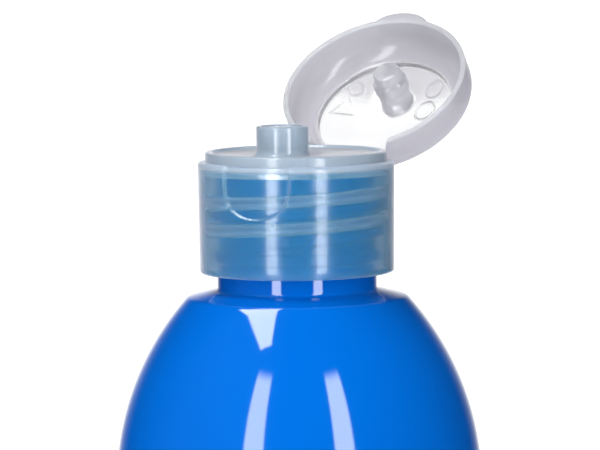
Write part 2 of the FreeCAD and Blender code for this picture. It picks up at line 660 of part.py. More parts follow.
capLeaves = []
lidLeaves = []
for side, startWord in (("left", "leaf_left_start"), ("right", "leaf_inner_side")):
    strip = leaf("cap_leaf_" + side, startWord, "cap_leaf_far", "cap_leaf_near")
    clipped = doc.addObject("Part::Cut", "cap_leaf_clipped_" + side)
    clipped.Base = strip
    clipped.Tool = capCone
    joined = doc.addObject("Part::Fuse", "hinge_leaf_" + side)
    joined.Label = "hinge_leaf_" + side
    joined.Base = clipped
    joined.Tool = bar("film_bar_" + side, startWord, "film_radius")
    capLeaves.append(joined)
    strip = leaf("lid_leaf_" + side, startWord, "lid_leaf_far", "lid_leaf_near")
    keepOut = doc.addObject("Part::Fuse", "lid_leaf_clearance_" + side)
    keepOut.Base = lidOutside
    keepOut.Tool = bar("film_space_" + side, startWord, "film_gap_radius")
    clipped = doc.addObject("Part::Cut", "lid_leaf_" + side)
    clipped.Label = "lid_leaf_" + side
    clipped.Base = strip
    clipped.Tool = keepOut
    lidLeaves.append(clipped)
doc.recompute()
for piece in lidLeaves:
    standOpen(piece)
doc.recompute()

for thing in doc.Objects:
    for state in thing.State:
        if state in ("Invalid", "Error"):
            raise RuntimeError(thing.Name + " is " + state)

pieces = [bottle, liner, capBase, spout] + capLeaves + [lid, plug, tab] + lidLeaves
for piece in pieces:
    if piece.Shape.isNull() or not piece.Shape.isValid() or len(piece.Shape.Solids) != 1:
        raise RuntimeError(piece.Label + " is not one valid solid")
    piece.Shape.exportStep("parts/" + piece.Label + ".step")
    box = piece.Shape.BoundBox
    print("%-18s %8.1f mm3  x %7.2f %7.2f  y %7.2f %7.2f  z %7.2f %7.2f"
          % (piece.Label, piece.Shape.Volume, box.XMin, box.XMax, box.YMin, box.YMax, box.ZMin, box.ZMax))
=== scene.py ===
import json
import math

import bmesh
import bpy
import numpy as np
from mathutils import Matrix, Vector


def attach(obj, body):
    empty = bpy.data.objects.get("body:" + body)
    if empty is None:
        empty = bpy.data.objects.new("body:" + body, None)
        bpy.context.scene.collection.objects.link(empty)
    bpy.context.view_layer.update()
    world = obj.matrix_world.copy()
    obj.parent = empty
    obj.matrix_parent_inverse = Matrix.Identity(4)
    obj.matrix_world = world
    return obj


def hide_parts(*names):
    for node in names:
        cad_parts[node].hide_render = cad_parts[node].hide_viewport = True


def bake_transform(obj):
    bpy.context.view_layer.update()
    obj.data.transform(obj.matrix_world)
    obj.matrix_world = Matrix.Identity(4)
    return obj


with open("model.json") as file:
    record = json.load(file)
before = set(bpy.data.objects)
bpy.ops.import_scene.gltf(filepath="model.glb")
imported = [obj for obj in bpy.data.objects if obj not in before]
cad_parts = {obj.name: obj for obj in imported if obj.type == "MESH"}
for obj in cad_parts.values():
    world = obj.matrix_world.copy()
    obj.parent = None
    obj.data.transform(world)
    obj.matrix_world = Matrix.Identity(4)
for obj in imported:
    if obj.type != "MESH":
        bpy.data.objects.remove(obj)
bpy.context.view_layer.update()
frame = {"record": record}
mm = 0.001
front = -math.pi / 2  # thumb side, as an angle about the bottle axis
back = math.pi / 2  # hinge side


def toLinear(hexText):
    channels = [int(hexText[i:i + 2], 16) / 255 for i in (1, 3, 5)]
    return tuple(c / 12.92 if c <= 0.04045 else ((c + 0.055) / 1.055) ** 2.4 for c in channels) + (1.0,)


def smoothStep(low, high, value):
    t = np.clip((value - low) / (high - low), 0, 1)
    return t * t * (3 - 2 * t)


def unit(vector):
    return vector / np.linalg.norm(vector)


def cornerCut(before, here, after, rounding):
    # How far a rounding eats into both edges of a corner, and how far the line turns there.
    lengthIn, lengthOn = np.linalg.norm(before - here), np.linalg.norm(after - here)
    turn = math.pi - math.acos(np.clip(unit(before - here) @ unit(after - here), -1, 1))
    return min(rounding * math.tan(turn / 2), 0.49 * lengthIn, 0.49 * lengthOn), turn


def outline(corners, closed, arcStep=9):
    # corners: (tag, radius, height, side shift, rounding, step); tag and step belong to the edge that leaves it.
    points = np.array([corner[1:4] for corner in corners], float)
    count = len(corners)
    cuts = []
    for i, corner in enumerate(corners):
        isEnd = not closed and i in (0, count - 1)
        if corner[4] > 0 and not isEnd:
            cuts.append(cornerCut(points[i - 1][:2], points[i][:2], points[(i + 1) % count][:2], corner[4]))
        else:
            cuts.append((0.0, 0.0))
    rows = []
    tags = []
    for i, (tag, _, _, shift, _, step) in enumerate(corners):
        here, after = points[i], points[(i + 1) % count]
        reach, turn = cuts[i]
        leave = here.copy()
        if reach > 0:
            inward, onward = unit(points[i - 1][:2] - here[:2]), unit(after[:2] - here[:2])
            leave[:2] += onward * reach
            radius = reach / math.tan(turn / 2)
            centre = here[:2] + unit(inward + onward) * math.hypot(radius, reach)
            first, last = (math.atan2(y, x) for x, y in (here[:2] + inward * reach - centre, leave[:2] - centre))
            sweep = (last - first + math.pi) % (2 * math.pi) - math.pi
            steps = max(3, int(math.degrees(turn) / arcStep))
            for angle in first + sweep * np.arange(steps + 1) / steps:
                rows.append((centre[0] + radius * math.cos(angle), centre[1] + radius * math.sin(angle), shift))
                tags.append("corner")
        else:
            rows.append(tuple(here))
            tags.append(tag)
        if closed or i < count - 1:
            arrive = after.copy()
            arrive[:2] += unit(here[:2] - after[:2]) * cuts[(i + 1) % count][0]
            gaps = int(np.linalg.norm((arrive - leave)[:2]) / step)
            for k in range(1, gaps + 1):
                rows.append(tuple(leave + (arrive - leave) * k / (gaps + 1)))
                tags.append(tag)
    return np.array(rows), np.array(tags)


def addPiece(name, vertices, faces, thicknessAndPaintedLight):
    # A mesh in millimetres; thickness tells the material how much plastic a point has behind it, with painted
    # highlights and painted shade added into it on the cap and lid.
    mesh = bpy.data.meshes.new(name)
    mesh.from_pydata((np.asarray(vertices) * mm).tolist(), [], faces)
    mesh.validate()
    mesh.shade_smooth()
    mesh.attributes.new("thicknessAndPaintedLight", "FLOAT", "POINT").data.foreach_set("value", np.ravel(thicknessAndPaintedLight))
    thing = bpy.data.objects.new(name, mesh)
    bpy.context.scene.collection.objects.link(thing)
    return thing


def lathe(name, corners, closed, segments, shape=None):
    # Turned skin; shape may push the rings about before the mesh is made.
    rows, tags = outline(corners, closed)
    angle = np.repeat(np.arange(segments)[None] * 2 * math.pi / segments, len(rows), axis=0)
    radius = np.repeat(rows[:, :1], segments, axis=1)
    height = np.repeat(rows[:, 1:2], segments, axis=1)
    shift = rows[:, 2:3]
    thicknessAndPaintedLight = np.zeros_like(radius)
    if shape:
        radius, height, thicknessAndPaintedLight = shape(radius, height, angle, tags[:, None], shift)
    vertices = np.stack([radius * np.cos(angle), radius * np.sin(angle) + shift, height], -1).reshape(-1, 3)
    faces = []
    for row in range(len(rows) if closed else len(rows) - 1):
        lower = row * segments
        upper = (row + 1) % len(rows) * segments
        for k in range(segments):
            k2 = (k + 1) % segments
            faces.append((lower + k, lower + k2, upper + k2, upper + k))
    return addPiece(name, vertices, faces, thicknessAndPaintedLight)


def weld(thing):
    # Merges the rings that close at the axis and turns the faces outwards.
    work = bmesh.new()
    work.from_mesh(thing.data)
    bmesh.ops.remove_doubles(work, verts=work.verts, dist=1e-7)
    bmesh.ops.recalc_face_normals(work, faces=work.faces)
    work.to_mesh(thing.data)
    work.free()


def addNode(tree, kind, inputs=None, **settings):
    # inputs: socket to a fixed value, to another node's socket, or to a node, which gives its first output in use
    node = tree.nodes.new(kind)
    for key, value in settings.items():
        setattr(node, key, value)
    for key, value in (inputs or {}).items():
        if isinstance(value, bpy.types.Node):
            value = next(socket for socket in value.outputs if socket.enabled)
        if isinstance(value, bpy.types.NodeSocket):
            tree.links.new(value, node.inputs[key])
        else:
            node.inputs[key].default_value = value
    return node


def newMaterial(name):
    material = bpy.data.materials.new(name)
    material.use_nodes = True
    material.node_tree.nodes.clear()
    return material, material.node_tree


def patternScale(size):
    return 1 / (size * mm)  # a pattern's scale from its size in millimetres


print("tools ready")

blueFinish = {
    "colour": "#0060C0", "drift": "#005BBA", "driftSize": 22.2, "waveSize": 16.7, "waveHeight": 1.0,
    "waveStrength": 0.02, "roughness": 0.05, "ior": 1.5,
}


def bluePolyethylene():
    # blow-moulded polyethylene: an even saturated blue under a hard gloss, with the faint waviness of a blown wall
    s = blueFinish
    material, tree = newMaterial("blow-moulded glossy polyethylene")
    place = addNode(tree, "ShaderNodeTexCoord").outputs["Object"]
    drift = addNode(tree, "ShaderNodeTexNoise",
                    {"Vector": place, "Scale": patternScale(s["driftSize"]), "Detail": 2.0})
    colour = addNode(tree, "ShaderNodeMix",
                     {"Factor": drift, 6: toLinear(s["colour"]), 7: toLinear(s["drift"])}, data_type="RGBA")
    wave = addNode(tree, "ShaderNodeTexNoise",
                   {"Vector": place, "Scale": patternScale(s["waveSize"]), "Detail": 1.0})
    bump = addNode(tree, "ShaderNodeBump",
                   {"Height": wave, "Strength": s["waveStrength"], "Distance": s["waveHeight"] * mm})
    skin = addNode(tree, "ShaderNodeBsdfPrincipled",
                   {"Base Color": colour, "Roughness": s["roughness"], "IOR": s["ior"], "Normal": bump})
    addNode(tree, "ShaderNodeOutputMaterial", {"Surface": skin})
    return material


clearFinish = {
    "colour": "#F4F6F8", "cloud": "#ECEEF1", "cloudSize": 8.33, "neckTintedHaze": "#2CC2F4", "neckTintedHazeCloud": "#28BAEC",
    "rib": "#D0E2F2", "ribGain": 2.0, "thinHaze": 0.22, "thickHaze": 0.4, "hazeGloss": 0.6, "hazeRoughness": 0.1,
    "roughness": 0.2, "ior": 1.49, "coat": 0.13, "coatRoughness": 0.06, "sheen": 1.0, "sheenRoughness": 0.4,
    "sheenTint": "#FFF2F6", "depth": "#B4C4D2", "density": 35.0,
}


def clearPolypropylene():
    # injection-moulded natural polypropylene, thin and glossy: the neck shows through softly, thick ribs look milkier;
    # the haze is tinted cyan as a painted glow of the neck's blue light scattered in the plastic
    s = clearFinish
    material, tree = newMaterial("injection-moulded natural polypropylene")
    place = addNode(tree, "ShaderNodeTexCoord").outputs["Object"]
    cloud = addNode(tree, "ShaderNodeTexNoise",
                    {"Vector": place, "Scale": patternScale(s["cloudSize"]), "Detail": 2.0})
    thick = addNode(tree, "ShaderNodeAttribute", attribute_name="thicknessAndPaintedLight").outputs["Fac"]
    colour = addNode(tree, "ShaderNodeMix",
                     {"Factor": cloud, 6: toLinear(s["colour"]), 7: toLinear(s["cloud"])}, data_type="RGBA")
    # painted light: the haze colours are cyan, standing in for the neck's blue light scattered in the cap
    neckTintedHaze = addNode(tree, "ShaderNodeMix",
                   {"Factor": cloud, 6: toLinear(s["neckTintedHaze"]), 7: toLinear(s["neckTintedHazeCloud"])}, data_type="RGBA")
    ribShare = addNode(tree, "ShaderNodeMath", {0: thick, 1: s["ribGain"]}, operation="MULTIPLY")
    neckTintedHaze = addNode(tree, "ShaderNodeMix", {"Factor": ribShare, 6: neckTintedHaze, 7: toLinear(s["rib"])}, data_type="RGBA")
    clear = addNode(tree, "ShaderNodeBsdfPrincipled", {
        "Base Color": colour, "Roughness": s["roughness"], "IOR": s["ior"], "Transmission Weight": 1.0,
        "Coat Weight": s["coat"], "Coat Roughness": s["coatRoughness"], "Sheen Weight": s["sheen"],
        "Sheen Roughness": s["sheenRoughness"], "Sheen Tint": toLinear(s["sheenTint"]),
    })
    glowing = addNode(tree, "ShaderNodeBsdfTranslucent", {"Color": neckTintedHaze})
    glossy = addNode(tree, "ShaderNodeBsdfPrincipled",
                     {"Base Color": neckTintedHaze, "Roughness": s["hazeRoughness"], "IOR": s["ior"]})
    milky = addNode(tree, "ShaderNodeMixShader", {0: s["hazeGloss"], 1: glowing, 2: glossy})
    amount = addNode(tree, "ShaderNodeMath", {0: thick, 1: s["thickHaze"], 2: s["thinHaze"]},
                     operation="MULTIPLY_ADD")
    body = addNode(tree, "ShaderNodeMixShader", {0: amount, 1: clear, 2: milky})
    depth = addNode(tree, "ShaderNodeVolumeAbsorption", {"Color": toLinear(s["depth"]), "Density": s["density"]})
    addNode(tree, "ShaderNodeOutputMaterial", {"Surface": body, "Volume": depth})
    return material


milkyFinish = {
    "colour": "#F4F6F8", "cloud": "#ECEEF1", "cloudSize": 8.33, "wall": "#E5E4EB", "thin": "#FDFDFE",
    "leastHaze": 0.07, "mostHaze": 0.85, "fullHazeAt": 1.345, "hazeGloss": 0.25, "roughness": 0.12, "ior": 1.49,
}


def milkyPolypropylene():
    # the same polypropylene in the lid, milky against the light: thick walls grey and pearly, the thin top almost clear
    s = milkyFinish
    material, tree = newMaterial("injection-moulded milky polypropylene")
    place = addNode(tree, "ShaderNodeTexCoord").outputs["Object"]
    cloud = addNode(tree, "ShaderNodeTexNoise",
                    {"Vector": place, "Scale": patternScale(s["cloudSize"]), "Detail": 2.0})
    plain = addNode(tree, "ShaderNodeMix",
                    {"Factor": cloud, 6: toLinear(s["colour"]), 7: toLinear(s["cloud"])}, data_type="RGBA")
    thick = addNode(tree, "ShaderNodeAttribute", attribute_name="thicknessAndPaintedLight").outputs["Fac"]
    fromWall = addNode(tree, "ShaderNodeMath", {0: thick, 1: 1.0}, operation="SUBTRACT")
    distance = addNode(tree, "ShaderNodeMath", {0: fromWall}, operation="ABSOLUTE")
    tint = addNode(tree, "ShaderNodeMath", {0: 1.0, 1: distance}, operation="SUBTRACT")  # 1 on a plain wall
    colour = addNode(tree, "ShaderNodeMix", {"Factor": tint, 6: plain, 7: toLinear(s["wall"])}, data_type="RGBA")
    through = addNode(tree, "ShaderNodeMix", {"Factor": tint, 6: toLinear(s["thin"]), 7: colour}, data_type="RGBA")
    clear = addNode(tree, "ShaderNodeBsdfPrincipled", {
        "Base Color": through, "Roughness": s["roughness"], "IOR": s["ior"], "Transmission Weight": 1.0,
    })
    glowing = addNode(tree, "ShaderNodeBsdfTranslucent", {"Color": colour})
    glossy = addNode(tree, "ShaderNodeBsdfPrincipled",
                     {"Base Color": colour, "Roughness": s["roughness"], "IOR": s["ior"]})
    milky = addNode(tree, "ShaderNodeMixShader", {0: s["hazeGloss"], 1: glowing, 2: glossy})
    amount = addNode(tree, "ShaderNodeMapRange", {
        "Value": thick, "From Max": s["fullHazeAt"], "To Min": s["leastHaze"], "To Max": s["mostHaze"],
    })
    body = addNode(tree, "ShaderNodeMixShader", {0: amount, 1: clear, 2: milky})
    addNode(tree, "ShaderNodeOutputMaterial", {"Surface": body})
    return material


foamFinish = {
    "skin": "#ECECEA", "cell": "#D8D8D4", "cellSize": 0.4, "cellDepth": 0.1, "cellStrength": 0.3, "roughness": 0.8,
}


def linerFoam():
    # die-cut polyethylene foam: matt white with fine closed cells
    s = foamFinish
    material, tree = newMaterial("die-cut closed-cell foam")
    place = addNode(tree, "ShaderNodeTexCoord").outputs["Object"]
    cells = addNode(tree, "ShaderNodeTexVoronoi", {"Vector": place, "Scale": patternScale(s["cellSize"])})
    colour = addNode(tree, "ShaderNodeMix",
                     {"Factor": cells, 6: toLinear(s["cell"]), 7: toLinear(s["skin"])}, data_type="RGBA")
    bump = addNode(tree, "ShaderNodeBump",
                   {"Height": cells, "Strength": s["cellStrength"], "Distance": s["cellDepth"] * mm})
    skin = addNode(tree, "ShaderNodeBsdfPrincipled",
                   {"Base Color": colour, "Roughness": s["roughness"], "Normal": bump})
    addNode(tree, "ShaderNodeOutputMaterial", {"Surface": skin})
    return material


boardFinish = {"colour": "#F4F4F2", "mottle": "#EFEFED", "mottleSize": 167.0, "roughness": 0.7}


def studioBoard():
    # matt painted board: pale and even, with the slightest mottling
    s = boardFinish
    material, tree = newMaterial("matt painted studio board")
    place = addNode(tree, "ShaderNodeTexCoord").outputs["Object"]
    mottle = addNode(tree, "ShaderNodeTexNoise",
                     {"Vector": place, "Scale": patternScale(s["mottleSize"]), "Detail": 3.0})
    colour = addNode(tree, "ShaderNodeMix",
                     {"Factor": mottle, 6: toLinear(s["colour"]), 7: toLinear(s["mottle"])}, data_type="RGBA")
    skin = addNode(tree, "ShaderNodeBsdfPrincipled", {"Base Color": colour, "Roughness": s["roughness"]})
    addNode(tree, "ShaderNodeOutputMaterial", {"Surface": skin})
    return material


blueSkin = bluePolyethylene()
clearSkin = clearPolypropylene()
milkySkin = milkyPolypropylene()
foamSkin = linerFoam()
boardSkin = studioBoard()
print("materials ready")

threadSize = {"low": 122.23, "pitch": 4.233, "fade": 0.06}


def threadRidge(angle, height, startAngle, turns, crestHalf, footHalf):
    # 0 to 1 over a right-hand ridge that starts here and climbs; both ends fade out.
    s = threadSize
    ridge = np.zeros_like(height)
    for lap in range(-1, 4):
        along = (angle - startAngle) / (2 * math.pi) + lap
        centre = s["low"] + along * s["pitch"]
        ends = smoothStep(0, s["fade"], along) * (1 - smoothStep(turns - s["fade"], turns, along))
        lump = 1 - smoothStep(crestHalf, footHalf, np.abs(height - centre))
        ridge = np.maximum(ridge, lump * ends)
    return ridge


bottleSize = {
    "barrel": 28.9, "barrelTop": 82.7, "sideArc": 45.0, "edge": 112.75, "edgeRounding": 1.4, "wall": 1.0,
    "heelRounding": 4.0, "foot": 22.5, "footInside": 22.9, "hollow": 20.5, "hollowInside": 20.7,
    "hollowEdge": 1.2, "hollowTop": 2.6, "neckBase": 114.0, "neck": 12.55, "bore": 10.9, "boreBase": 113.3,
    "insideTop": 111.4, "mouth": 133.0, "bead": 13.1, "beadLow": 118.4, "beadHigh": 120.2, "beadSlope": 0.4,
    "threadCrest": 13.7, "turns": 1.5, "crestHalf": 0.45, "footHalf": 1.2, "segments": 300,
}


def sidePoints(radius, low, high, steps):
    # Points up the curved upper body, whose arc is centred level with the barrel's top.
    centre = bottleSize["barrel"] - bottleSize["sideArc"]
    heights = np.linspace(low, high, steps)
    return [(centre + math.sqrt(radius ** 2 - (h - bottleSize["barrelTop"]) ** 2), h) for h in heights]


def bottleShape(radius, height, angle, tag, shift):
    s = bottleSize
    ridge = threadRidge(angle, height, front, s["turns"], s["crestHalf"], s["footHalf"])
    return np.where(tag == "threaded", radius + ridge * (s["threadCrest"] - s["neck"]), radius), height, ridge


def buildBottle():
    s = bottleSize
    outside = sidePoints(s["sideArc"], s["barrelTop"], s["edge"], 26)
    inside = sidePoints(s["sideArc"] - s["wall"], s["barrelTop"], s["insideTop"], 20)[::-1]
    corners = [
        ("base", 0, s["hollowTop"], 0, 0, 3),
        ("base", s["hollow"], s["hollowEdge"], 0, 0.8, 3),
        ("base", s["foot"], 0, 0, 0.5, 3),
        ("base", s["barrel"], 0, 0, s["heelRounding"], 3),
    ]
    corners += [("side", r, h, 0, 0, 4) for r, h in outside[:-1]]
    corners += [
        ("shoulder", *outside[-1], 0, s["edgeRounding"], 0.6),
        ("plain", s["neck"], s["neckBase"], 0, 0.5, 0.8),
        ("plain", s["neck"], s["beadLow"], 0, 0.15, 1),
        ("plain", s["bead"], s["beadLow"] + s["beadSlope"], 0, 0.2, 1),
        ("plain", s["bead"], s["beadHigh"], 0, 0.2, 1),
        ("threaded", s["neck"], s["beadHigh"] + s["beadSlope"], 0, 0.15, 0.12),
        ("mouth", s["neck"], s["mouth"], 0, 0.4, 1),
        ("bore", s["bore"], s["mouth"], 0, 0.4, 2),
        ("inside", s["bore"], s["boreBase"], 0, 0.3, 2),
    ]
    corners += [("inside", r, h, 0, 0, 4) for r, h in inside]
    corners += [
        ("inside", s["barrel"] - s["wall"], s["wall"], 0, s["heelRounding"] - s["wall"], 4),
        ("inside", s["footInside"], s["wall"], 0, 0.3, 3),
        ("inside", s["hollowInside"], s["hollowEdge"] + s["wall"], 0, 0.3, 3),
        ("inside", 0, s["hollowTop"] + s["wall"], 0, 0, 3),
    ]
    thing = lathe("bottleSkin", corners, False, s["segments"], bottleShape)
    weld(thing)
    thing.data.materials.append(blueSkin)
    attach(thing, "bottle")
    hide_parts("bottle")


buildBottle()
print("bottle ready")

linerSize = {"inner": 8.6, "outer": 12.7, "low": 133.0, "high": 134.0, "rounding": 0.15, "segments": 180}


def buildLiner():
    s = linerSize
    ring = [(s["outer"], s["low"]), (s["outer"], s["high"]), (s["inner"], s["high"]), (s["inner"], s["low"])]
    corners = [("ring", radius, height, 0, s["rounding"], 2) for radius, height in ring]
    thing = lathe("linerRing", corners, True, s["segments"])
    weld(thing)
    thing.data.materials.append(foamSkin)
    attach(thing, "liner")
    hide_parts("seal_liner")


buildLiner()
print("liner ready")

capSize = {
    "bottom": 116.7, "bottomRadius": 15.25, "taper": 125.0, "taperRadius": 15.35, "ledge": 134.1, "topRadius": 15.46,
    "seat": 14.29, "seatTop": 135.7, "dish": 13.3, "deckRadius": 12.9, "deck": 135.3, "underside": 134.0,
    "pocket": 133.2, "boreTop": 132.2, "boreRadius": 14.0, "lead": 117.6, "leadRadius": 14.4,
    "spoutShift": -4.8, "spout": 4.08, "spoutTop": 139.95, "spoutBore": 3.2, "step": 138.0, "orifice": 2.95,
    "recessHalf": 5.8, "recessLow": 125.9, "recessCurve": 7.41, "recessDepth": 0.5, "recessSoft": 1.6,
    "recessEdge": 0.3, "outsideFrom": 14.9, "recessFrom": 124.0, "segments": 600,
    "threadCrest": 12.95, "turns": 2.0, "crestHalf": 0.4, "footHalf": 1.1,
    # how milky it looks: from the ledge up and less in the spout's thin wall; whiter in a painted highlight at the
    # recess's rim and in a painted highlight line low on each thread
    "solid": (132.9, 133.7), "spoutThin": 0.52, "spoutFrom": (135.8, 136.4), "rimWhitening": 1.2,
    "paintedGlint": 0.8, "paintedGlintDrop": 0.35, "paintedGlintHalf": 0.08, "paintedGlintFoot": 0.3,
}


def capShape(radius, height, angle, tag, shift):
    s = capSize
    away = np.abs(np.angle(np.exp(1j * (angle - front))))
    x = radius * np.sin(away)
    # thumb recess: straight sides over a round bottom, joined by a soft minimum
    beside = s["recessHalf"] - x
    above = s["recessCurve"] - np.hypot(x, np.minimum(height - s["recessLow"] - s["recessCurve"], 0))
    share = np.clip(0.5 + 0.5 * (above - beside) / s["recessSoft"], 0, 1)
    inside = above + (beside - above) * share - s["recessSoft"] * share * (1 - share)
    mask = smoothStep(0, s["recessEdge"], inside) * (away < 1)
    isSkin = (tag == "outerWall") | (tag == "corner")
    onWall = isSkin & (radius > s["outsideFrom"]) & (height > s["recessFrom"])
    radius = np.where(onWall, radius - s["recessDepth"] * mask, radius)
    ridge = threadRidge(angle, height, back, s["turns"], s["crestHalf"], s["footHalf"])
    # painted highlight: a thin whiter line low on each thread stands in for light caught by the threads
    line = threadRidge(angle, height + s["paintedGlintDrop"], back, s["turns"], s["paintedGlintHalf"], s["paintedGlintFoot"])
    thicknessAndPaintedLight = smoothStep(*s["solid"], height) - s["spoutThin"] * smoothStep(*s["spoutFrom"], height)
    onThread = tag == "innerWall"
    thicknessAndPaintedLight = np.where(onThread, ridge + s["paintedGlint"] * line, thicknessAndPaintedLight)
    # painted highlight: a whiter line along the thumb recess's edge
    thicknessAndPaintedLight = np.where(onWall, thicknessAndPaintedLight + s["rimWhitening"] * mask * (1 - mask), thicknessAndPaintedLight)
    radius = np.where(onThread, radius - ridge * (s["boreRadius"] - s["threadCrest"]), radius)
    return radius, height, thicknessAndPaintedLight


def buildCap():
    s = capSize
    shift = s["spoutShift"]
    corners = [
        ("outerWall", s["bottomRadius"], s["bottom"], 0, 0.35, 1),
        ("outerWall", s["taperRadius"], s["taper"], 0, 0, 0.15),
        ("ledge", s["topRadius"], s["ledge"], 0, 0.5, 0.3),
        ("seatWall", s["seat"], s["ledge"], 0, 0.15, 0.5),
        ("seatTop", s["seat"], s["seatTop"], 0, 0.4, 0.3),
        ("dish", s["dish"], s["seatTop"], 0, 0.3, 0.5),
        ("deck", s["deckRadius"], s["deck"], 0, 0.3, 0.5),
        ("spoutWall", s["spout"], s["deck"], shift, 0.8, 0.5),
        ("spoutRim", s["spout"], s["spoutTop"], shift, 0.3, 0.5),
        ("bore", s["spoutBore"], s["spoutTop"], shift, 0.3, 0.5),
        ("step", s["spoutBore"], s["step"], shift, 0.12, 0.5),
        ("orifice", s["orifice"], s["step"], shift, 0.12, 0.5),
        ("underside", s["orifice"], s["underside"], shift, 0.15, 0.5),
        ("pocket", s["deckRadius"], s["underside"], 0, 0.15, 0.5),
        ("pocket", s["deckRadius"], s["pocket"], 0, 0.1, 0.5),
        ("innerWall", s["boreRadius"], s["boreTop"], 0, 0.2, 0.12),
        ("lead", s["boreRadius"], s["lead"], 0, 0.2, 0.5),
        ("lead", s["leadRadius"], s["bottom"], 0, 0.25, 0.5),
    ]
    thing = lathe("capMoulding", corners, True, s["segments"], capShape)
    weld(thing)
    thing.data.materials.append(clearSkin)
    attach(thing, "cap")
    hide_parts("cap_base", "spout")


buildCap()
print("cap ready")

lidHinge = next(joint for joint in frame["record"]["behaviour"]["joints"] if joint["name"] == "lid_hinge")
hingeSize = {
    "behind": lidHinge["pos_m"][1] / mm, "height": lidHinge["pos_m"][2] / mm, "open": -lidHinge["range_deg"][0],
}
lidSize = {
    "rim": 134.2, "radius": 15.45, "inner": 14.6, "top": 145.0, "dome": 25.0, "wall": 0.85, "rounding": 2.6,
    "domeEdge": 12.2, "straight": 136.5, "step": 11.3, "stepHeight": 140.5, "floorBend": 8.0,
    "skirtFrom": 14.0, "outsideFrom": 15.1, "segments": 430,
    "notchHalf": 6.3, "notchSoft": 0.8, "notchRise": 3.8, "notchFade": 138.6,
    "tabHalf": 4.6, "tabReach": 1.35, "tabCurve": 6.19, "tabHeight": 1.7, "tabEdge": 0.12,
    "plugShift": -4.8, "plugRoot": 2.6, "plugFoot": 143.6, "plugBlend": (141.5, 143.4), "plugReach": 3.3,
    "collar": 2.85, "collarTop": 140.1, "collarLow": 138.5, "rootLow": 140.5, "tip": 2.3, "tipTop": 137.9,
    "tipEnd": 136.4, "markDepth": 0.12, "markHalf": 0.06, "markFoot": 0.24,
    "pinMarks": [(6.3, -6.8, 1.5), (5.6, -2.8, 1.8), (-7.8, -6.5, 1.3)],  # x, y, radius
    "triangle": [(-10.4, -0.4), (-6.6, -1.4), (-8.3, -4.6)],
    # how milky it looks: from the floor's edge outwards, at the rim, on the moulded marks and the thumb tab, and in the
    # plug; on the thumb side of the floor it is greyer and milkier as a painted dark reflection
    "wallMilk": (11.25, 11.7), "rimWhitening": (134.3, 134.6), "markMilk": 0.5, "tabMilk": 0.35, "tabFade": 0.4,
    "floorPaintedShade": 0.85, "floorShadeFade": (-7.0, -3.0), "plugMilk": 0.6,
}


def mouldedMarks(x, y):
    # 1 on the shallow rings left by the ejector pins and on the triangle, 0 elsewhere
    s = lidSize
    lines = [np.abs(np.hypot(x - cx, y - cy) - r) for cx, cy, r in s["pinMarks"]]
    sides = []
    corners = s["triangle"]
    for (x1, y1), (x2, y2) in zip(corners, corners[1:] + corners[:1]):
        sides.append(((x - x1) * (y1 - y2) + (y - y1) * (x2 - x1)) / math.hypot(x2 - x1, y2 - y1))
    lines.append(np.abs(np.max(sides, axis=0)))
    return 1 - smoothStep(s["markHalf"], s["markFoot"], np.min(lines, axis=0))


def domeHeight(radius, inside):
    # Height of the domed top at a distance from the axis, on its inside (1) or outside (0).
    s = lidSize
    return s["top"] - s["dome"] + np.sqrt((s["dome"] - s["wall"] * inside) ** 2 - radius ** 2)


def lidShape(radius, height, angle, tag, shift):
    s = lidSize
    isFloor = tag == "floor"
    isPlug = (tag != "top") & ~isFloor & (radius < s["plugReach"])
    across, along = radius * np.cos(angle), radius * np.sin(angle) + shift
    ceiling = domeHeight(np.minimum(np.hypot(across, along), s["skirtFrom"]), 1)
    mark = mouldedMarks(across, along) * isFloor
    height = np.where(isFloor, ceiling + s["markDepth"] * mark, height)
    foot = smoothStep(*s["plugBlend"], height) * isPlug  # the root meets the dome
    height = height + (ceiling - s["plugFoot"]) * foot
    # thumb tab on the front of the rim
    away = np.abs(np.angle(np.exp(1j * (angle - front))))
    x = radius * np.sin(away)
    tabEdge = s["radius"] + s["tabReach"] - s["tabCurve"] + np.sqrt(np.maximum(s["tabCurve"] ** 2 - x ** 2, 0))
    wall = np.sqrt(s["radius"] ** 2 - np.minimum(x, s["tabHalf"]) ** 2)
    reach = np.maximum(tabEdge - wall, 0) * (x < s["tabHalf"]) * (away < 1)
    tabTop = s["rim"] + s["tabHeight"]
    isLow = 1 - smoothStep(tabTop - s["tabEdge"], tabTop + s["tabEdge"], height)
    isOuter = ((tag == "outerWall") | (tag == "corner")) & (radius > s["outsideFrom"])
    radius = np.where(isOuter, radius + reach * isLow, radius)
    onTab = isOuter * smoothStep(0, s["tabFade"], reach)
    # milkiness follows the thickness of the plastic
    thicknessAndPaintedLight = smoothStep(*s["wallMilk"], radius)
    onRim = (1 - smoothStep(*s["rimWhitening"], height)) * (1 - onTab)
    thicknessAndPaintedLight = thicknessAndPaintedLight + thicknessAndPaintedLight * onRim + s["markMilk"] * mark + s["tabMilk"] * isLow * onTab
    # painted reflection: the floor's thumb side is greyer and milkier, standing in for a dark reflection there
    shadedThumbSide = 1 - smoothStep(*s["floorShadeFade"], along)
    thicknessAndPaintedLight = np.where(isFloor, thicknessAndPaintedLight + s["floorPaintedShade"] * shadedThumbSide, thicknessAndPaintedLight)
    thicknessAndPaintedLight = np.where(isPlug, s["plugMilk"], thicknessAndPaintedLight)
    # notch in the skirt for the hinge
    notch = (1 - smoothStep(s["notchHalf"] - s["notchSoft"], s["notchHalf"] + s["notchSoft"], x)) * (away > 2)
    share = np.clip((s["notchFade"] - height) / (s["notchFade"] - s["rim"]), 0, 1)
    height = np.where(radius > s["skirtFrom"], height + s["notchRise"] * notch * share, height)
    return radius, height, thicknessAndPaintedLight


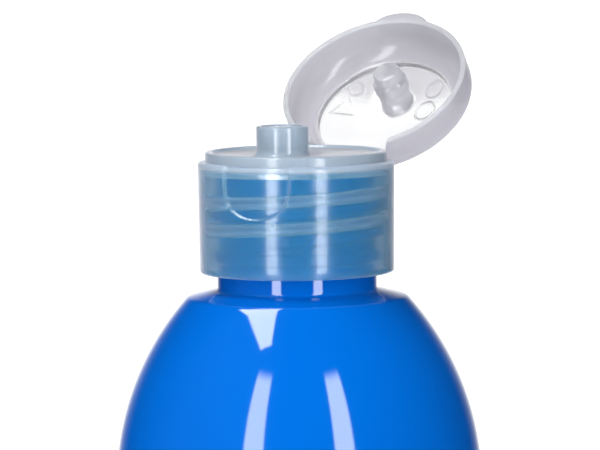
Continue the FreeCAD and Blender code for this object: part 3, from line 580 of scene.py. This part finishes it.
def buildLid():
    # Drawn closed, then swung open about the hinge to the rest pose.
    s = lidSize
    shift = s["plugShift"]
    corners = [("top", r, domeHeight(r, 0), 0, 0, 1.5) for r in np.linspace(0, s["domeEdge"], 14)]
    corners += [
        ("outerWall", s["radius"], domeHeight(s["radius"], 0), 0, s["rounding"], 0.18),
        ("rim", s["radius"], s["rim"], 0, 0.3, 0.2),
        ("innerWall", s["inner"], s["rim"], 0, 0.25, 0.2),
    ]
    run, rise = s["inner"] - s["step"], s["stepHeight"] - s["straight"]
    curve = (run ** 2 + rise ** 2) / (2 * run)
    for t in np.linspace(0, math.asin(rise / curve), 14):
        radius, height = s["inner"] - curve * (1 - math.cos(t)), s["straight"] + curve * math.sin(t)
        corners.append(("innerWall", radius, height, 0, 0, 0.3))
    corners += [
        ("floor", s["step"] - 0.05, domeHeight(s["step"], 1), 0, 0.12, 0.15),
        ("floor", s["floorBend"], domeHeight(s["floorBend"], 1), 0, 0, 0.15),
        ("plug", s["plugRoot"], s["plugFoot"], shift, 0.3, 0.3),
        ("plug", s["plugRoot"], s["rootLow"], shift, 0.15, 0.4),
        ("plug", s["collar"], s["collarTop"], shift, 0.2, 0.4),
        ("plug", s["collar"], s["collarLow"], shift, 0.3, 0.4),
        ("plug", s["tip"], s["tipTop"], shift, 0.3, 0.4),
        ("plug", s["tip"], s["tipEnd"], shift, 0.35, 0.4),
        ("plug", 0, s["tipEnd"], shift, 0, 0.4),
    ]
    thing = lathe("lidMoulding", corners, False, s["segments"], lidShape)
    weld(thing)
    thing.data.materials.append(milkySkin)
    pivot = Vector((0, hingeSize["behind"], hingeSize["height"])) * mm
    turn = Matrix.Rotation(math.radians(-hingeSize["open"]), 4, "X")
    thing.data.transform(Matrix.Translation(pivot) @ turn @ Matrix.Translation(-pivot))
    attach(thing, "lid")
    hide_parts("lid_shell", "lid_plug", "thumb_tab")


buildLid()
print("lid ready")

webSize = {
    "inner": 2.0, "width": 3.5, "thick": 0.6, "film": 0.3, "columns": 7, "rows": 70, "milkiness": 0.8,
    "thicken": (0.05, 0.5), "crease": (0.05, 0.12), "smoothings": 6, "sharpAngle": 40.0, "bendHalf": 0.3,
    # out from the bottle's axis, height, and how far the strip hugs the round wall there, from 0 to 1
    "knots": [(14.9, 129.0, 1), (15.45, 129.6, 1), (15.95, 130.9, 0.8), (16.35, 132.4, 0.4), (16.65, 133.6, 0.1),
              (16.8, 134.0, 0)],
}


def standOpen(y, z):
    s = hingeSize
    angle = math.radians(s["open"])
    across, up = y - s["behind"], z - s["height"]
    return (s["behind"] + across * math.cos(angle) + up * math.sin(angle),
            s["height"] - across * math.sin(angle) + up * math.cos(angle))


def webLine(x):
    # Both faces of the strip in the plane at x, from the cap's wall over the film to the lid's.
    s = webSize
    fallBack = lidSize["radius"] - math.sqrt(lidSize["radius"] ** 2 - x ** 2)
    knots = [(y - fallBack * hug, z) for y, z, hug in s["knots"]]
    lidKnots = [standOpen(y, 2 * hingeSize["height"] - z) for y, z in knots][::-1]
    crease = (hingeSize["behind"] + s["crease"][0], hingeSize["height"] + s["crease"][1])
    line = np.array(knots + [crease] + lidKnots)
    length = np.concatenate([[0], np.cumsum(np.linalg.norm(np.diff(line, axis=0), axis=1))])
    steps = np.linspace(0, length[-1], s["rows"])
    curve = np.stack([np.interp(steps, length, line[:, i]) for i in (0, 1)], -1)
    for _ in range(s["smoothings"]):
        curve[1:-1] = 0.25 * curve[:-2] + 0.5 * curve[1:-1] + 0.25 * curve[2:]
    along = np.gradient(curve, axis=0)
    along /= np.linalg.norm(along, axis=1)[:, None]
    across = np.stack([-along[:, 1], along[:, 0]], -1)
    fromFilm = np.abs(steps / length[-1] - 0.5) * 2
    half = (s["film"] + (s["thick"] - s["film"]) * smoothStep(*s["thicken"], fromFilm))[:, None] / 2
    return curve + across * half, curve - across * half


def buildWeb(side):
    s = webSize
    sign = 1 if side == "right" else -1
    places = [sign * x for x in np.linspace(s["inner"], s["inner"] + s["width"], s["columns"])]
    lines = [webLine(x) for x in places]
    around = 2 * s["columns"]
    vertices = []
    for row in range(s["rows"]):
        near = [(x, *line[0][row]) for x, line in zip(places, lines)]
        far = [(x, *line[1][row]) for x, line in zip(places, lines)]
        vertices += near + far[::-1]
    faces = []
    for row in range(s["rows"] - 1):
        for k in range(around):
            k2 = (k + 1) % around
            faces.append(tuple(around * row + j for j in (k, k2, around + k2, around + k)))
    for first in (0, around * (s["rows"] - 1)):
        for k in range(s["columns"] - 1):
            faces.append(tuple(first + j for j in (k, k + 1, around - 2 - k, around - 1 - k)))
    thing = addPiece("hingeWeb_" + side, vertices, faces, [s["milkiness"]] * len(vertices))
    thing.data.set_sharp_from_angle(angle=math.radians(s["sharpAngle"]))
    weld(thing)
    thing.data.materials.append(milkySkin)
    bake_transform(thing)
    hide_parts("hinge_leaf_" + side, "lid_leaf_" + side)


buildWeb("left")
buildWeb("right")
print("hinge ready")

cameraSize = {
    "azimuth": 25.5, "elevation": 5.15, "distance": 670.0, "height": 124.0, "roll": 0.62, "lens": 255.5,
    "sensor": 36.0, "shift": 3.4 / 600,
}


def buildCamera():
    s = cameraSize
    a, e, r = (math.radians(s[k]) for k in ("azimuth", "elevation", "roll"))
    away = Vector((math.sin(a) * math.cos(e), -math.cos(a) * math.cos(e), math.sin(e)))
    right = Vector((math.cos(a), math.sin(a), 0))
    up = away.cross(right)
    rolledRight = right * math.cos(r) - up * math.sin(r)
    rolledUp = up * math.cos(r) + right * math.sin(r)
    place = Vector((0, 0, s["height"] * mm)) + away * s["distance"] * mm
    camera = bpy.data.objects.new("camera", bpy.data.cameras.new("camera"))
    bpy.context.scene.collection.objects.link(camera)
    camera.matrix_world = Matrix([(*row, place[i]) for i, row in enumerate(zip(rolledRight, rolledUp, away))]
                                 + [(0, 0, 0, 1)])
    camera.data.lens = s["lens"]
    camera.data.sensor_width = s["sensor"]
    camera.data.shift_x = s["shift"]
    camera.data.clip_start = 0.01
    bpy.context.scene.camera = camera


buildCamera()

floorSize = {"radius": 700.0, "shift": 150.0, "drop": 0.1, "sides": 128}


def buildFloor():
    s = floorSize
    a = math.radians(cameraSize["azimuth"])
    x, y = math.sin(a) * s["shift"], -math.cos(a) * s["shift"]
    turns = [2 * math.pi * i / s["sides"] for i in range(s["sides"])]
    ring = [(x + s["radius"] * math.cos(t), y + s["radius"] * math.sin(t), -s["drop"]) for t in turns]
    mesh = bpy.data.meshes.new("floor")
    mesh.from_pydata((np.array(ring) * mm).tolist(), [], [tuple(range(s["sides"]))])
    board = bpy.data.objects.new("floor", mesh)
    bpy.context.scene.collection.objects.link(board)
    board.data.materials.append(boardSkin)


# angles in degrees: side is round from the camera's side of the bottle, lift is up from the level
light = {
    "dim": 0.012,
    "back": 1.15, "backEdge": 139.0, "backFull": 168.0, "backTop": 21.0, "backFall": 2.0,
    "fill": 0.06, "fillSide": -60.0, "fillFull": 20.0, "fillEdge": 60.0,
    "strip": 11.0, "stripSide": 30.0, "stripFull": 5.5, "stripEdge": 7.5, "stripTop": 42.0, "stripTopEdge": 48.0,
    "stripLow": -25.0, "stripLowEdge": -30.0,
    "top": 14.0, "topLeast": 0.05, "topSoft": (-0.01, 0.02),
    # the overhead panel's edges (a, b, c): inside them, a * x + b * y + c is more than 0 on a plane one up
    "topEdges": [(1.0, 0.207, 0.594), (-1.0, 0.321, -0.159), (0.0, 1.0, 0.53), (0.0, -1.0, 0.15)],
}


def buildWorld():
    s = light
    world = bpy.data.worlds.new("studio")
    bpy.context.scene.world = world
    world.use_nodes = True
    tree = world.node_tree
    tree.nodes.clear()
    place = addNode(tree, "ShaderNodeTexCoord").outputs["Generated"]
    facing = addNode(tree, "ShaderNodeVectorRotate",
                     {"Vector": place, "Angle": -math.radians(cameraSize["azimuth"])}, rotation_type="Z_AXIS")
    parts = addNode(tree, "ShaderNodeSeparateXYZ", {0: facing}).outputs
    ahead = addNode(tree, "ShaderNodeMath", {0: parts["Y"], 1: -1.0}, operation="MULTIPLY")
    sideTurn = addNode(tree, "ShaderNodeMath", {0: parts["X"], 1: ahead}, operation="ARCTAN2")
    side = addNode(tree, "ShaderNodeMath", {0: sideTurn}, operation="DEGREES")
    eitherSide = addNode(tree, "ShaderNodeMath", {0: side}, operation="ABSOLUTE")
    liftTurn = addNode(tree, "ShaderNodeMath", {0: parts["Z"]}, operation="ARCSINE")
    lift = addNode(tree, "ShaderNodeMath", {0: liftTurn}, operation="DEGREES")

    # pale backdrop behind the bottle, fading to both sides and upwards
    near = addNode(tree, "ShaderNodeMapRange",
                   {"Value": eitherSide, "From Min": s["backEdge"], "From Max": s["backFull"]})
    nearer = addNode(tree, "ShaderNodeMath", {0: near, 1: s["backFall"]}, operation="POWER")
    below = addNode(tree, "ShaderNodeMapRange",
                    {"Value": lift, "From Max": s["backTop"], "To Min": 1.0, "To Max": 0.0},
                    interpolation_type="SMOOTHSTEP")
    backdrop = addNode(tree, "ShaderNodeMath", {0: nearer, 1: below}, operation="MULTIPLY")

    # broad weak fill from the left
    fromFill = addNode(tree, "ShaderNodeMath", {0: side, 1: s["fillSide"]}, operation="SUBTRACT")
    offFill = addNode(tree, "ShaderNodeMath", {0: fromFill}, operation="ABSOLUTE")
    fill = addNode(tree, "ShaderNodeMapRange", {
        "Value": offFill, "From Min": s["fillFull"], "From Max": s["fillEdge"], "To Min": 1.0, "To Max": 0.0,
    }, interpolation_type="SMOOTHSTEP")

    # an upright strip light on each side
    fromStrip = addNode(tree, "ShaderNodeMath", {0: eitherSide, 1: s["stripSide"]}, operation="SUBTRACT")
    offStrip = addNode(tree, "ShaderNodeMath", {0: fromStrip}, operation="ABSOLUTE")
    strip = addNode(tree, "ShaderNodeMapRange", {
        "Value": offStrip, "From Min": s["stripFull"], "From Max": s["stripEdge"], "To Min": 1.0, "To Max": 0.0,
    }, interpolation_type="SMOOTHSTEP")
    for full, edge in ((s["stripTop"], s["stripTopEdge"]), (s["stripLow"], s["stripLowEdge"])):
        ends = addNode(tree, "ShaderNodeMapRange", {
            "Value": lift, "From Min": min(full, edge), "From Max": max(full, edge),
            "To Min": float(full < edge), "To Max": float(full > edge),
        }, interpolation_type="SMOOTHSTEP")
        strip = addNode(tree, "ShaderNodeMath", {0: strip, 1: ends}, operation="MULTIPLY")

    # overhead panel at the left, narrower towards the front
    up = addNode(tree, "ShaderNodeMath", {0: parts["Z"], 1: s["topLeast"]}, operation="MAXIMUM")
    stretch = addNode(tree, "ShaderNodeMath", {0: 1.0, 1: up}, operation="DIVIDE")
    flat = addNode(tree, "ShaderNodeVectorMath", {0: facing, "Scale": stretch}, operation="SCALE")
    inner = 1.0
    for edge in s["topEdges"]:
        reach = addNode(tree, "ShaderNodeVectorMath", {0: flat, 1: edge}, operation="DOT_PRODUCT")
        inner = addNode(tree, "ShaderNodeMath", {0: inner, 1: reach}, operation="MINIMUM")
    panel = addNode(tree, "ShaderNodeMapRange",
                    {"Value": inner, "From Min": s["topSoft"][0], "From Max": s["topSoft"][1]},
                    interpolation_type="SMOOTHSTEP")

    total = s["dim"]
    for lamp, strength in ((backdrop, s["back"]), (fill, s["fill"]), (strip, s["strip"]), (panel, s["top"])):
        total = addNode(tree, "ShaderNodeMath", {0: lamp, 1: strength, 2: total}, operation="MULTIPLY_ADD")
    glow = addNode(tree, "ShaderNodeBackground", {"Color": (1, 1, 1, 1), "Strength": total})
    addNode(tree, "ShaderNodeOutputWorld", {"Surface": glow})


buildFloor()
buildWorld()
bpy.context.scene.view_settings.view_transform = "Standard"
print("stage ready")
